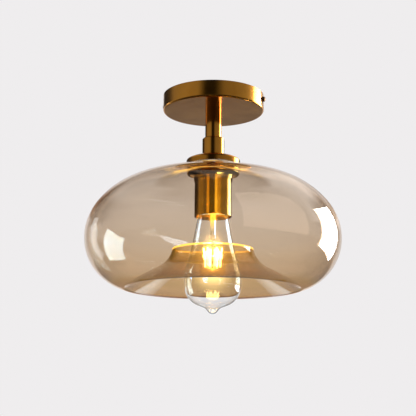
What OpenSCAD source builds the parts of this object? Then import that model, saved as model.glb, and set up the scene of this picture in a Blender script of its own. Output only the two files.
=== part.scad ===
// Semi-flush ceiling light: one screw-cap lamp under a blown glass shade whose mouth turns
// back inside as a bell. A brass canopy, a short stem and a clamped glass neck carry it.
// The origin is the centre of the canopy rim in the ceiling plane, and +Z points up.

/* [Canopy] */
// Outside diameter of the canopy pan
canopy_d = 115; // [105:1:140]
// Depth of the canopy pan below the ceiling
canopy_h = 18.6; // [17.6:0.2:28]
// Sheet thickness of the canopy pan
canopy_wall = 1.2; // [0.8:0.1:1.8]
// Outside radius of the pan's lower edge
canopy_edge_r = 2.2; // [2:0.1:5]

/* [Ceiling bracket] */
// Width of the bracket strap
strap_w = 20; // [16:1:24]
// Thickness of the bracket strap
strap_t = 2; // [1.5:0.1:2.5]
// How far the bent ears reach below the ceiling
ear_drop = 13; // [11.5:0.5:15]
// Inside radius of the bend between strap and ear
strap_bend_r = 1.5; // [0.5:0.1:2]
// Distance between the centres of the two ceiling slots
slot_pitch = 72; // [68:1:78]
// End to end length of a ceiling slot
slot_len = 12; // [9:0.5:14]
// Width of a ceiling slot
slot_w = 5; // [4:0.5:6]
// Distance of the earth screw from the centre of the strap
earth_screw_x = 18; // [16:0.5:22]

/* [Side screws] */
// Thread diameter of a side screw
side_screw_d = 4; // [3:0.5:5]
// Height of the side screws' axis below the ceiling
side_screw_drop = 7.7; // [7:0.1:8.5]
// Length of a side screw under its head
side_screw_len = 8; // [7:0.5:10]
// Diameter of a side screw's head
side_head_d = 6; // [5.5:0.5:8]
// Height of a side screw's head
side_head_h = 3; // [2:0.1:3.5]

/* [Terminal block] */
// Distance between two poles of the terminal block
pole_pitch = 8; // [7.5:0.1:8.5]
// Depth of the block along its wire bores
block_depth = 16; // [14:0.5:18]
// Height of the block
block_h = 10; // [9:0.5:10.5]
// Distance from the lamp's axis to the block's near face
block_x = 10; // [9.5:0.1:10.5]

/* [Threaded rod and nuts] */
// Nominal diameter of the hollow threaded rod
rod_d = 10; // [9:0.5:11]
// Bore of the threaded rod
rod_bore_d = 7.2; // [6.6:0.1:7.6]
// How far the rod stands above the canopy nut
rod_top_out = 1.7; // [1:0.1:2]
// Width across the flats of the canopy nut
canopy_nut_af = 17; // [15:0.5:19]
// Height of the canopy nut
canopy_nut_h = 5; // [4:0.5:5.5]
// Diameter of the canopy washer
washer_d = 24; // [21:0.5:30]
// Thickness of both washers
washer_t = 1.2; // [0.8:0.1:1.4]
// Width across the flats of the nut inside the cup
cup_nut_af = 14; // [13:0.5:15]
// Height of the nut inside the cup
cup_nut_h = 3.5; // [3:0.25:4]

/* [Stem and collar] */
// Outside diameter of the stem tube
stem_d = 18.5; // [16:0.5:22]
// Length of the stem tube that shows
stem_len = 31.5; // [24:0.5:60]
// Wall of the stem tube
stem_wall = 1; // [0.8:0.1:1.5]
// Height of the centring bush at the head of the stem
bush_h = 4; // [3:0.5:6]
// Outside diameter of the collar
collar_d = 24.8; // [24:0.2:28]
// Height of the collar
collar_h = 19.6; // [14:0.2:26]
// Chamfer round the collar's upper edge
collar_chamfer = 1; // [0.5:0.1:1.2]

/* [Dome cap] */
// Outside diameter of the spun dome cap
dome_d = 60.6; // [60:0.2:66]
// Height of the dome cap
dome_h = 12.3; // [11.3:0.1:16]
// Sheet thickness of the dome cap
dome_wall = 1.2; // [0.8:0.1:1.5]
// Radius of the dome's shallow crown
dome_crown_r = 55; // [50:1:60]
// Angle through which the crown falls away
dome_crown_turn = 18; // [15:0.5:20]
// Radius of the dome's shoulder corner
dome_corner_r = 2.6; // [2:0.1:3.4]

/* [Glass shade] */
// Largest outside diameter of the shade
shade_d = 284.4; // [270:0.2:320]
// Thickness of the blown glass
shade_wall = 3; // [2.4:0.1:3.4]
// Diameter of the hole ground through the neck
neck_hole_d = 42; // [41.6:0.2:44]
// Width of the flat seat ground round the hole
neck_seat_w = 5.75; // [5:0.25:6.5]
// Fall of the shoulder cone, in degrees
shoulder_slope = 15.9; // [14:0.1:18]
// Radius of the arc from the shoulder to the flank
crown_r = 93; // [80:1:100]
// Angle of that arc
crown_turn = 36; // [32:0.5:40]
// Radius of the flank above the widest ring
flank_r = 59; // [50:1:64]
// Radius of the belly below the widest ring
belly_r = 57.3; // [52:0.1:62]
// Angle of the belly arc
belly_turn = 75; // [72:0.5:78]
// Radius of the fold where the glass turns back inside
fold_r = 6; // [4.5:0.1:8]
// Rise of the underside from the fold to the bell, in degrees
bell_slope = 27; // [25:0.5:30]
// Radius of the bell's flare
flare_r = 36.2; // [32:0.2:40]
// Lean of the bell's throat from upright, in degrees
throat_lean = 12; // [8:0.5:16]
// Inside diameter of the bell's throat, below the lip
throat_d = 84; // [80:0.5:90]

/* [Gaskets] */
// Thickness of the clear gaskets above and below the neck
gasket_t = 1; // [0.6:0.1:1.5]

/* [Socket cup] */
// How far inside the dome cap's edge the cup's flange and the upper gasket end
edge_inset = 0.3; // [0.1:0.1:1]
// Thickness of the flange
flange_t = 2.6; // [2:0.1:3]
// Outside diameter of the cup
cup_d = 42; // [42:0.2:46]
// Wall of the cup
cup_wall = 1.2; // [0.8:0.1:1.2]
// Length of the cup from the top of its flange
cup_len = 53.9; // [52:0.1:60]
// Height of the spigot that centres the glass
spigot_h = 3.2; // [2.4:0.1:3.4]
// Radius of the sweep between flange and cup
sweep_r = 5.6; // [4:0.1:6]
// Height of the bead under the sweep
bead_h = 1.8; // [1:0.1:3]

/* [Lampholder] */
// Outside diameter of the ceramic lampholder
holder_d = 38; // [37.4:0.1:38.6]
// Height of the ceramic lampholder
holder_h = 34.5; // [33.5:0.5:36]
// Thickness of the ceramic above the screw shell
holder_roof = 5.5; // [4.5:0.25:6]
// Inside diameter of the screw shell
shell_bore_d = 26.7; // [26.6:0.1:27]
// Sheet thickness of the screw shell
shell_wall = 0.5; // [0.4:0.05:0.6]
// Clear height of the saddle that hangs the lampholder
saddle_h = 11; // [10:0.5:12]
// Sheet thickness of the saddle
saddle_t = 1.2; // [1:0.1:1.4]

/* [Lamp] */
// Diameter of the lamp's glass
bulb_d = 64; // [60:0.5:66]
// Thickness of the lamp's glass
bulb_wall = 0.9; // [0.6:0.1:1.2]
// Diameter of the screw cap
cap_d = 26.2; // [26:0.1:26.3]
// Height of the screw cap's brass shell
cap_h = 22; // [21:0.5:24]
// Length of one light filament
filament_len = 24; // [20:0.5:26]
// Diameter of one light filament
filament_d = 2; // [1.4:0.1:2.2]
// Number of light filaments
filament_count = 6; // [4:1:8]
// Radius of the ring on which the filaments' upper ends stand
filament_top_r = 10.2; // [9:0.2:11]
// Radius of the ring on which the filaments' lower ends stand
filament_low_r = 8; // [7:0.2:9]

/* [Hidden] */

// Clearances that pieces share
thread_gap = 0.05;
slip_gap = 0.3;
seat_gap = 0.1;
contact_gap = 0.2;

// Facets of large and small rounds, and the angle of one step along a profile arc
large_fn = 144;
small_fn = 48;
arc_step = 4;

// Finishes
brass = "#b98d3c";
steel = "#b9bcc0";
ceramic = "#efece4";
amber_glass = [0.76, 0.63, 0.46, 0.45];
clear_glass = [0.93, 0.93, 0.9, 0.3];

// Levels down the axis, from the ceiling to the lamp's contact
canopy_floor_z = canopy_wall - canopy_h;
canopy_nut_z = canopy_floor_z + washer_t;
rod_top_z = canopy_nut_z + canopy_nut_h + rod_top_out;
stem_top_z = -canopy_h;
collar_top_z = stem_top_z - stem_len;
dome_top_z = collar_top_z - collar_h;
dome_rim_z = dome_top_z - dome_h;
glass_top_z = dome_rim_z - gasket_t;
glass_seat_z = glass_top_z - shade_wall;
flange_top_z = glass_seat_z - gasket_t;
spigot_top_z = flange_top_z + spigot_h;
cup_roof_t = 2.5;
cup_roof_z = spigot_top_z - cup_roof_t;
saddle_top_z = cup_roof_z - washer_t;
cup_nut_z = saddle_top_z - saddle_t - cup_nut_h;
rod_end_out = 1.5;
rod_end_z = cup_nut_z - rod_end_out;
holder_top_z = saddle_top_z - saddle_t - saddle_h;
holder_roof_z = holder_top_z - holder_roof;
contact_drop = 2.2;
contact_z = holder_roof_z - contact_drop;
bulb_top_z = contact_z - contact_gap;

// Radii that several pieces share
neck_seat_r = neck_hole_d / 2 + neck_seat_w;
canopy_r = canopy_d / 2;
canopy_in_r = canopy_r - canopy_wall;
rod_r = rod_d / 2;
rod_outer_r = rod_r - thread_gap;
rod_pass_r = rod_r + slip_gap;
spigot_r = neck_hole_d / 2 - 2 * slip_gap;
spigot_wall = 1.6;
cup_r = cup_d / 2;
flange_r = dome_d / 2 - edge_inset;
cup_in_r = cup_r - cup_wall;
holder_r = holder_d / 2;
shell_in_r = shell_bore_d / 2;
shell_out_r = shell_in_r + shell_wall;
shell_pocket_r = shell_out_r + contact_gap;
cap_r = cap_d / 2;

// A profile is a walk of tangent legs. [length, 0] is a straight, [radius, turn] an arc that
// turns left for a positive angle, and [0, turn] a sharp corner. Headings are given from
// straight outwards.
upright = 90;
inward = 180;
function ahead(h) = [cos(h), sin(h)];
function leftward(h) = [-sin(h), cos(h)];
function leg_end(p, h, leg) =
    leg[1] == 0 ? p + leg[0] * ahead(h)
    : p + sign(leg[1]) * leg[0] * (leftward(h) - leftward(h + leg[1]));
function leg_points(p, h, leg) =
    leg[0] == 0 ? []
    : leg[1] == 0 ? [leg_end(p, h, leg)]
    : let (n = max(3, ceil(abs(leg[1]) / arc_step)))
      [for (i = [1:n]) leg_end(p, h, [leg[0], leg[1] * i / n])];
function legs_points(p, h, legs, i = 0) =
    i == len(legs) ? []
    : concat(
        leg_points(p, h, legs[i]),
        legs_points(leg_end(p, h, legs[i]), h + legs[i][1], legs, i + 1)
    );
function walk(p, h, legs) = concat([p], legs_points(p, h, legs));
function last(a) = a[len(a) - 1];
function backwards(a) = [for (i = [len(a) - 1:-1:0]) a[i]];
function all_but_last(a) = [for (i = [0:len(a) - 2]) a[i]];

// The same legs, moved sideways: to the right for a positive distance t
function beside(legs, t) = [for (g = legs) g[1] == 0 ? g : [g[0] + sign(g[1]) * t, g[1]]];

// Outline of a wall of thickness t along a walk, with square ends
function wall_outline(p, h, legs, t) = concat(
    walk(p, h, legs),
    backwards(walk(p - t * leftward(h), h, beside(legs, t)))
);

module turned(points, fn = large_fn) {
    rotate_extrude($fn = fn)
        polygon([for (q = points) [max(q[0], 0), q[1]]]);
}

module ring(outer_r, inner_r, z0, z1, fn = small_fn) {
    translate([0, 0, z0])
        difference() {
            cylinder(h = z1 - z0, r = outer_r, $fn = fn);
            translate([0, 0, -1])
                cylinder(h = z1 - z0 + 2, r = inner_r, $fn = fn);
        }
}

module hex_nut(across, height, z0) {
    corner_r = across / 2 / cos(30);
    translate([0, 0, z0])
        difference() {
            intersection() {
                cylinder(h = height, r = corner_r, $fn = 6);
                cylinder(h = height, r1 = corner_r + height - 0.8, r2 = corner_r - 0.8, $fn = small_fn);
                cylinder(h = height, r1 = corner_r - 0.8, r2 = corner_r + height - 0.8, $fn = small_fn);
            }
            translate([0, 0, -1])
                cylinder(h = height + 2, r = rod_r, $fn = small_fn);
        }
}

module between(a, b, r, fn = 24) {
    span = b - a;
    translate(a)
        rotate([0, acos(span[2] / norm(span)), atan2(span[1], span[0])])
            cylinder(h = norm(span), r = r, $fn = fn);
}

// Ceiling bracket: a steel strap with both ends bent down as threaded ears. The strap's
// ends are rounded off to clear the canopy's wall.
ear_x = sqrt(pow(canopy_in_r, 2) - pow(strap_w / 2, 2)) - 0.4;
earth_screw_d = 4;
block_screw_d = 3;
module mounting_bracket() {
    color(steel)
        difference() {
            rotate([90, 0, 0])
                translate([0, 0, -strap_w / 2])
                    linear_extrude(strap_w)
                        polygon(concat(
                            strap_half(),
                            [for (q = backwards(strap_half())) [-q[0], q[1]]]
                        ));
            for (side = [-1, 1]) {
                translate([side * slot_pitch / 2, 0, -strap_t - 1])
                    ceiling_slot();
                translate([side * ear_x, 0, -side_screw_drop])
                    rotate([0, 90, 0])
                        cylinder(h = 3 * strap_t, r = side_screw_d / 2, center = true, $fn = small_fn);
            }
            translate([-earth_screw_x, 0, -strap_t - 1])
                cylinder(h = strap_t + 2, r = earth_screw_d / 2, $fn = small_fn);
            translate([block_mid_x, 0, -strap_t - 1])
                cylinder(h = strap_t + 2, r = block_screw_d / 2, $fn = small_fn);
        }
}
// Half of the strap's edge outline, from the middle of its underside round the ear to the
// middle of its top
function strap_half() = concat(
    walk(
        [0, -strap_t], 0,
        [
            [ear_x - strap_t - strap_bend_r, 0],
            [strap_bend_r, -90],
            [ear_drop - strap_t - strap_bend_r, 0]
        ]
    ),
    backwards(walk(
        [0, 0], 0,
        [
            [ear_x - strap_t - strap_bend_r, 0],
            [strap_bend_r + strap_t, -90],
            [ear_drop - strap_t - strap_bend_r, 0]
        ]
    ))
);
module ceiling_slot() {
    run = (slot_len - slot_w) / 2;
    for (side = [-1, 1])
        translate([side * run, 0, 0])
            cylinder(h = strap_t + 2, r = slot_w / 2, $fn = small_fn);
    translate([-run, -slot_w / 2, 0])
        cube([2 * run, slot_w, strap_t + 2]);
}

// Earth screw: a pan head under the strap, its thread in the strap's tapped hole
module earth_screw() {
    color("#4f9a4c")
        translate([-earth_screw_x, 0, 0])
            pan_screw(earth_screw_d, strap_t - seat_gap, 7.5, 2.4, -strap_t - seat_gap);
}
// A slotted pan head screw that points up, its head's seat at height z
module pan_screw(d, len, head_d, head_h, z) {
    translate([0, 0, z])
        difference() {
            union() {
                cylinder(h = len, r = d / 2 - thread_gap, $fn = small_fn);
                mirror([0, 0, 1])
                    turned(walk_pan(head_d / 2, head_h), small_fn);
            }
            translate([-head_d / 2 - 1, -0.5, -head_h - 1])
                cube([head_d + 2, 1, 1.9]);
        }
}
// A pan head's outline: flat seat, upright rim, rounded edge, flat top
pan_rim_share = 0.4;
function walk_pan(r, h) = concat(
    [[0, 0]],
    walk([r, 0], upright, [[h * pan_rim_share, 0], [h * (1 - pan_rim_share), 90]]),
    [[0, h]]
);

// Terminal block: three poles under the strap, wired along X
block_mid_x = block_x + block_depth / 2;
block_w = 3 * pole_pitch;
block_top_z = -strap_t;
bore_z = block_top_z - block_h * 0.54;
barrel_r = 2.4;
barrel_bore_r = 1.4;
barrel_len = block_depth - 2;
clamp_reach = block_depth / 2 - 3.5;
module terminal_block() {
    color(ceramic)
        difference() {
            union() {
                translate([block_x, -block_w / 2, block_top_z - block_h + 2])
                    cube([block_depth, block_w, block_h - 2]);
                for (pole = [-1:1])
                    translate([block_x + 1.5, pole * pole_pitch - 2.9, block_top_z - block_h])
                        cube([block_depth - 3, 5.8, 3]);
            }
            for (pole = [-1:1]) {
                translate([block_mid_x, pole * pole_pitch, bore_z])
                    rotate([0, 90, 0])
                        cylinder(h = barrel_len, r = barrel_r + seat_gap, center = true, $fn = small_fn);
                translate([block_mid_x, pole * pole_pitch, bore_z])
                    rotate([0, 90, 0])
                        cylinder(h = block_depth + 2, r = barrel_bore_r + 0.4, center = true, $fn = small_fn);
                for (side = [-1, 1])
                    translate([
                        block_mid_x + side * clamp_reach, pole * pole_pitch, block_top_z - block_h - 1
                    ])
                        cylinder(h = bore_z - block_top_z + block_h + 1, r = 1.9, $fn = small_fn);
            }
            for (side = [-1, 1])
                translate([block_mid_x, side * pole_pitch / 2, block_top_z - block_h - 1])
                    cylinder(h = block_h + 2, r = 0.9, $fn = small_fn);
        }
}
// Brass barrel of each pole, tapped from below for two clamp screws
module terminal_barrels() {
    color(brass)
        for (pole = [-1:1])
            translate([block_mid_x, pole * pole_pitch, bore_z])
                difference() {
                    rotate([0, 90, 0])
                        cylinder(h = barrel_len - 2 * seat_gap, r = barrel_r, center = true, $fn = small_fn);
                    rotate([0, 90, 0])
                        cylinder(h = block_depth, r = barrel_bore_r, center = true, $fn = small_fn);
                    for (side = [-1, 1])
                        translate([side * clamp_reach, 0, -barrel_r - 1])
                            cylinder(h = barrel_r + 1, r = 1.3, $fn = small_fn);
                }
}
// Clamp screws: slotted grub screws, two to a pole
module clamp_screws() {
    color(steel)
        for (pole = [-1:1])
            for (side = [-1, 1])
                translate([block_mid_x + side * clamp_reach, pole * pole_pitch, bore_z - barrel_bore_r])
                    mirror([0, 0, 1])
                        difference() {
                            cylinder(h = 3.4, r = 1.3 - thread_gap, $fn = small_fn);
                            translate([-2, -0.3, 2.6])
                                cube([4, 0.6, 2]);
                        }
}

// Canopy: a drawn brass pan, open to the ceiling, with a rod hole and two side screw holes
module canopy() {
    color(brass)
        difference() {
            turned(wall_outline(
                [rod_pass_r, -canopy_h], 0,
                [
                    [canopy_r - canopy_edge_r - rod_pass_r, 0],
                    [canopy_edge_r, 90],
                    [canopy_h - canopy_edge_r, 0]
                ],
                -canopy_wall
            ));
            for (side = [-1, 1])
                translate([side * canopy_r, 0, -side_screw_drop])
                    rotate([0, 90, 0])
                        cylinder(
                            h = 6 * canopy_wall, r = side_screw_d / 2 + slip_gap,
                            center = true, $fn = small_fn
                        );
        }
}

// Side screws: they hold the canopy to the bracket's ears
module side_screw() {
    translate([canopy_r + seat_gap, 0, -side_screw_drop])
        difference() {
            union() {
                rotate([0, -90, 0])
                    cylinder(h = side_screw_len, r = side_screw_d / 2 - thread_gap, $fn = small_fn);
                rotate([0, 90, 0])
                    turned(walk_pan(side_head_d / 2, side_head_h), small_fn);
            }
            translate([side_head_h - 1, -0.5, -side_head_d])
                cube([2, 1, 2 * side_head_d]);
        }
}
module side_screw_right() {
    color(brass) side_screw();
}
module side_screw_left() {
    color(brass) mirror([1, 0, 0]) side_screw();
}

// Washer and nut that hang the rod in the canopy's floor
module canopy_washer() {
    color(steel) ring(washer_d / 2, rod_pass_r, canopy_floor_z, canopy_nut_z);
}
module canopy_nut() {
    color(brass) hex_nut(canopy_nut_af, canopy_nut_h, canopy_nut_z);
}

// Hollow threaded rod: it runs from the canopy nut to the nut in the cup and carries the leads
module threaded_rod() {
    color(steel) ring(rod_outer_r, rod_bore_d / 2, rod_end_z, rod_top_z);
}

// Stem: a tube round the rod, centred by a bush above and by the collar's boss below
stem_in_r = stem_d / 2 - stem_wall;
boss_h = 4;
module stem_bush() {
    color(steel) ring(stem_in_r - seat_gap, rod_pass_r, stem_top_z - bush_h, stem_top_z);
}
module stem() {
    color(brass) ring(stem_d / 2, stem_in_r, collar_top_z, stem_top_z, large_fn);
}

// Collar: turned and tapped, it screws up the rod against the stem and down on the dome
module collar() {
    color(brass)
        turned([
            [rod_r, dome_top_z],
            [collar_d / 2, dome_top_z],
            [collar_d / 2, collar_top_z - collar_chamfer],
            [collar_d / 2 - collar_chamfer, collar_top_z],
            [stem_in_r - seat_gap, collar_top_z],
            [stem_in_r - seat_gap, collar_top_z + boss_h],
            [rod_r, collar_top_z + boss_h]
        ]);
}

// Dome cap: spun brass, flat under the collar, a shallow crown, a tight corner and an upright rim
dome_ease_r = 20;
dome_ease_turn = 8;
dome_fall = dome_ease_turn + dome_crown_turn;
dome_run = dome_ease_r * sin(dome_ease_turn)
    + dome_crown_r * (sin(dome_fall) - sin(dome_ease_turn))
    + dome_corner_r * (1 - sin(dome_fall));
dome_curve_h = dome_ease_r * (1 - cos(dome_ease_turn))
    + dome_crown_r * (cos(dome_ease_turn) - cos(dome_fall))
    + dome_corner_r * cos(dome_fall);
module dome_cap() {
    color(brass)
        turned(wall_outline(
            [rod_pass_r, dome_top_z], 0,
            [
                [dome_d / 2 - rod_pass_r - dome_run, 0],
                [dome_ease_r, -dome_ease_turn],
                [dome_crown_r, -dome_crown_turn],
                [dome_corner_r, dome_fall - 90],
                [dome_h - dome_curve_h, 0]
            ],
            dome_wall
        ));
}

// Gaskets: clear silicone rings above and below the ground neck
upper_gasket_r = dome_d / 2 - edge_inset;
lower_gasket_r = neck_seat_r;
module upper_gasket() {
    color("#e8e8e4") ring(upper_gasket_r, neck_hole_d / 2 + 0.5, glass_top_z, dome_rim_z, large_fn);
}
module lower_gasket() {
    color("#e8e8e4") ring(lower_gasket_r, spigot_r + slip_gap, flange_top_z, glass_seat_z, large_fn);
}

// Glass shade: one blown wall of even thickness. It runs out from the ground neck over the
// shoulder and the flank to the belly, folds back under and rises inside as a flared bell
// with a rounded lip.
neck_r = 15;
flank_turn = 90 - shoulder_slope - crown_turn;
fold_turn = 90 - belly_turn + bell_slope;
flare_turn = 90 - bell_slope - throat_lean;
crown_run = crown_r * (sin(shoulder_slope + crown_turn) - sin(shoulder_slope));
flank_run = flank_r * (1 - cos(flank_turn));
shoulder_run = shade_d / 2 - flank_run - crown_run - neck_r * sin(shoulder_slope) - neck_seat_r;
fold_x = shade_d / 2 - belly_r * (1 - cos(belly_turn)) - fold_r * (sin(90 - belly_turn) + sin(bell_slope));
flare_run = flare_r * (sin(90 - throat_lean) - sin(bell_slope));
underside_run = fold_x - flare_run - throat_d / 2;
shade_legs = [
    [neck_seat_w, 0],
    [neck_r, -shoulder_slope],
    [shoulder_run / cos(shoulder_slope), 0],
    [crown_r, -crown_turn],
    [flank_r, -flank_turn],
    [belly_r, -belly_turn],
    [fold_r, -fold_turn],
    [underside_run / cos(bell_slope), 0],
    [flare_r, -flare_turn]
];
module glass_shade() {
    start = [neck_hole_d / 2, glass_top_z];
    outer = walk(start, 0, concat(shade_legs, [[shade_wall / 2, -180]]));
    inner = all_but_last(walk(start - [0, shade_wall], 0, beside(shade_legs, shade_wall)));
    color(amber_glass) turned(concat(outer, backwards(inner)));
}

// Socket cup: turned brass. A spigot centres the glass, the flange carries it, and the swept
// neck ends in a bead above the plain cup.
flange_edge_r = flange_t / 2;
bead_out = 1;
sweep_start_r = cup_r + bead_out + sweep_r;
module socket_cup() {
    outer = walk(
        [rod_pass_r, spigot_top_z], 0,
        [
            [spigot_r - rod_pass_r, 0],
            [0, -90],
            [spigot_h, 0],
            [0, 90],
            [flange_r - flange_edge_r - spigot_r, 0],
            [flange_edge_r, -180],
            [flange_r - flange_edge_r - sweep_start_r, 0],
            [sweep_r, 90],
            [bead_h - 0.5, 0],
            [0.5, -90],
            [bead_out - 0.5, 0],
            [0, 90],
            [cup_len - flange_t - sweep_r - bead_h - cup_wall / 2, 0],
            [cup_wall / 2, -180]
        ]
    );
    shelf_z = flange_top_z - flange_t;
    color(brass)
        turned(concat(outer, [
            [cup_in_r, shelf_z],
            [spigot_r - spigot_wall, shelf_z],
            [spigot_r - spigot_wall, cup_roof_z],
            [rod_pass_r, cup_roof_z]
        ]));
}

// Washer, saddle and nut that close the stack inside the cup
module cup_washer() {
    color(steel) ring(9, rod_pass_r, saddle_top_z, cup_roof_z);
}
module cup_nut() {
    color(brass) hex_nut(cup_nut_af, cup_nut_h, cup_nut_z);
}
saddle_leg_x = 10;
saddle_w = 13;
foot_reach = 17.4;
saddle_screw_x = 14;
saddle_screw_d = 3;
module lampholder_saddle() {
    leg_h = saddle_h + saddle_t;
    color(steel)
        difference() {
            union() {
                translate([-saddle_leg_x - saddle_t, -saddle_w / 2, saddle_top_z - saddle_t])
                    cube([2 * (saddle_leg_x + saddle_t), saddle_w, saddle_t]);
                for (side = [0, 1])
                    mirror([side, 0, 0]) {
                        translate([saddle_leg_x, -saddle_w / 2, holder_top_z])
                            cube([saddle_t, saddle_w, leg_h]);
                        translate([saddle_leg_x, -saddle_w / 2, holder_top_z])
                            cube([foot_reach - saddle_leg_x, saddle_w, saddle_t]);
                    }
            }
            translate([0, 0, saddle_top_z - saddle_t - 1])
                cylinder(h = saddle_t + 2, r = rod_pass_r, $fn = small_fn);
            for (side = [-1, 1])
                translate([side * saddle_screw_x, 0, holder_top_z - 1])
                    cylinder(h = saddle_t + 2, r = saddle_screw_d / 2 + seat_gap, $fn = small_fn);
        }
}

// Lampholder: a ceramic body with the brass screw shell and the centre contact. Each has a
// terminal on the ceramic's top.
terminal_y = 11;
tab_w = 6;
tab_t = 1;
rivet_y = 6;
rivet_r = 1.4;
shell_top_z = holder_roof_z - 1;
shell_end_z = holder_top_z - holder_h + 3;
screw_depth = 4;
module lampholder_body() {
    bottom_z = holder_top_z - holder_h;
    color(ceramic)
        difference() {
            turned([
                [0, holder_top_z],
                [holder_r - 1, holder_top_z],
                [holder_r, holder_top_z - 1],
                [holder_r, bottom_z + 0.6],
                [holder_r - 0.6, bottom_z],
                [shell_pocket_r + 1.4, bottom_z],
                [shell_pocket_r, bottom_z + 2.5],
                [shell_pocket_r, holder_roof_z],
                [0, holder_roof_z]
            ]);
            translate([0, rivet_y, holder_roof_z - 1])
                cylinder(h = holder_roof + 2, r = rivet_r + seat_gap, $fn = small_fn);
            translate([-tab_w / 2 - seat_gap, -shell_out_r - seat_gap, holder_roof_z - 1])
                cube([tab_w + 2 * seat_gap, tab_t + 2 * seat_gap, holder_roof + 2]);
            for (side = [-1, 1]) {
                translate([0, side * terminal_y, holder_top_z - screw_depth])
                    cylinder(h = screw_depth + 1, r = saddle_screw_d / 2, $fn = small_fn);
                translate([side * saddle_screw_x, 0, holder_top_z - screw_depth])
                    cylinder(h = screw_depth + 1, r = saddle_screw_d / 2, $fn = small_fn);
            }
        }
}
// A slotted screw that points down into the ceramic, its head's seat at height z
module ceramic_screw(z) {
    translate([0, 0, z + seat_gap])
        mirror([0, 0, 1])
            pan_screw(saddle_screw_d, z - holder_top_z + screw_depth - 0.3, 5.2, 2, 0);
}
module saddle_screws() {
    color(steel)
        for (side = [-1, 1])
            translate([side * saddle_screw_x, 0, 0])
                ceramic_screw(holder_top_z + saddle_t);
}
module terminal_screws() {
    color(brass)
        for (side = [-1, 1])
            translate([0, side * terminal_y, 0])
                ceramic_screw(holder_top_z + tab_t);
}
module terminal_plate(near_y) {
    difference() {
        translate([-tab_w / 2, near_y, holder_top_z])
            cube([tab_w, shell_out_r - near_y, tab_t]);
        translate([0, terminal_y, holder_top_z - 1])
            cylinder(h = tab_t + 2, r = saddle_screw_d / 2 + seat_gap, $fn = small_fn);
    }
}
module screw_shell() {
    color(brass) {
        ring(shell_out_r, shell_in_r, shell_end_z, shell_top_z, large_fn);
        mirror([0, 1, 0]) {
            difference() {
                translate([-tab_w / 2, shell_out_r - tab_t, shell_top_z - 1])
                    cube([tab_w, tab_t, holder_top_z - shell_top_z + 1 + tab_t]);
                translate([0, 0, shell_top_z - 2])
                    cylinder(h = 2, r = shell_in_r, $fn = large_fn);
                translate([0, 0, shell_top_z - 2])
                    ring(shell_out_r + 3, shell_out_r, 0, 2, large_fn);
            }
            terminal_plate(rivet_y);
        }
    }
}
// Centre contact: a riveted spring strip, bent down over the cap's button
module centre_contact() {
    strip_t = 0.8;
    color(brass) {
        translate([-2.5, 0, 0])
            rotate([90, 0, 90])
                linear_extrude(5)
                    polygon([
                        [rivet_y + 2, holder_roof_z],
                        [rivet_y + 2, holder_roof_z - strip_t],
                        [4, holder_roof_z - strip_t],
                        [1.8, contact_z],
                        [-1.8, contact_z],
                        [-4.5, holder_roof_z - strip_t],
                        [-4.5 + strip_t / 2, holder_roof_z - strip_t / 2],
                        [-1.4, contact_z + strip_t],
                        [1.4, contact_z + strip_t],
                        [3.6, holder_roof_z]
                    ]);
        translate([0, rivet_y, holder_roof_z - strip_t / 2])
            cylinder(h = holder_roof + strip_t / 2 + tab_t / 2, r = rivet_r, $fn = small_fn);
        terminal_plate(rivet_y - 2);
    }
}

// Insulated leads: from the terminal block over the rod's head, down its bore and out to the
// lampholder's terminals and the saddle. The route points are at the leads' centres.
lead_r = 1.05;
lead_sides = 8;
lead_ring_r = 1.4;
lead_grip = 3;
lead_bare = 0.5;
swing_x = 5.4;
swing_y = 5.2;
arch_x = 2.2;
arch_y = 2.4;
arch_rise = 2;
dive = 1.5;
splay_x = 0.8;
splay_y = 3.6;
splay_drop = 2.4;
lead_end_rise = 2.5;
lead_end_y = terminal_y - saddle_screw_d;
function lead_route(pole_y, bore_at, turn_in, end_turn, end_at) = [
    [block_x + lead_grip, pole_y, bore_z],
    [block_x - lead_bare, pole_y, bore_z],
    turn_in[0],
    turn_in[1],
    [bore_at[0], bore_at[1], rod_top_z - dive],
    [bore_at[0], bore_at[1], rod_top_z - 4 * dive],
    [bore_at[0], bore_at[1], (rod_top_z + rod_end_z) / 2],
    [bore_at[0], bore_at[1], rod_end_z + 4 * dive],
    [bore_at[0], bore_at[1], rod_end_z + lead_bare],
    end_turn,
    end_at
];
// Catmull-Rom spline through the route, with a few steps a span
spline_steps = 4;
function spline_at(a, b, c, d, t) =
    0.5 * (2 * b + (c - a) * t + (2 * a - 5 * b + 4 * c - d) * t * t
    + (3 * b - a - 3 * c + d) * t * t * t);
function spline(p) = concat(
    [for (i = [0:len(p) - 2])
        for (s = [0:spline_steps - 1])
            spline_at(
                p[max(i - 1, 0)], p[i], p[i + 1], p[min(i + 2, len(p) - 1)],
                s / spline_steps
            )],
    [last(p)]
);
function unit(v) = v / norm(v);
// Rings square to the path, turned alike about one slanting direction
sweep_guide = [1, 1, 0];
module lead(route) {
    path = spline(route);
    n = len(path);
    rings = [for (i = [0:n - 1])
        let (
            along = unit(path[min(i + 1, n - 1)] - path[max(i - 1, 0)]),
            u = unit(cross(along, sweep_guide)),
            v = cross(along, u)
        )
        for (k = [0:lead_sides - 1])
            path[i] + lead_r * (cos(k * 360 / lead_sides) * u + sin(k * 360 / lead_sides) * v)];
    ends = [
        [for (k = [0:lead_sides - 1]) lead_sides - 1 - k],
        [for (k = [0:lead_sides - 1]) (n - 1) * lead_sides + k]
    ];
    sides = [for (i = [0:n - 2])
        for (k = [0:lead_sides - 1])
            let (a = i * lead_sides + k, b = i * lead_sides + (k + 1) % lead_sides)
            each [[a, b, b + lead_sides], [a, b + lead_sides, a + lead_sides]]];
    polyhedron([for (q = rings) q], concat(ends, sides));
}
lead_end_z = holder_top_z + lead_end_rise;
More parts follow.
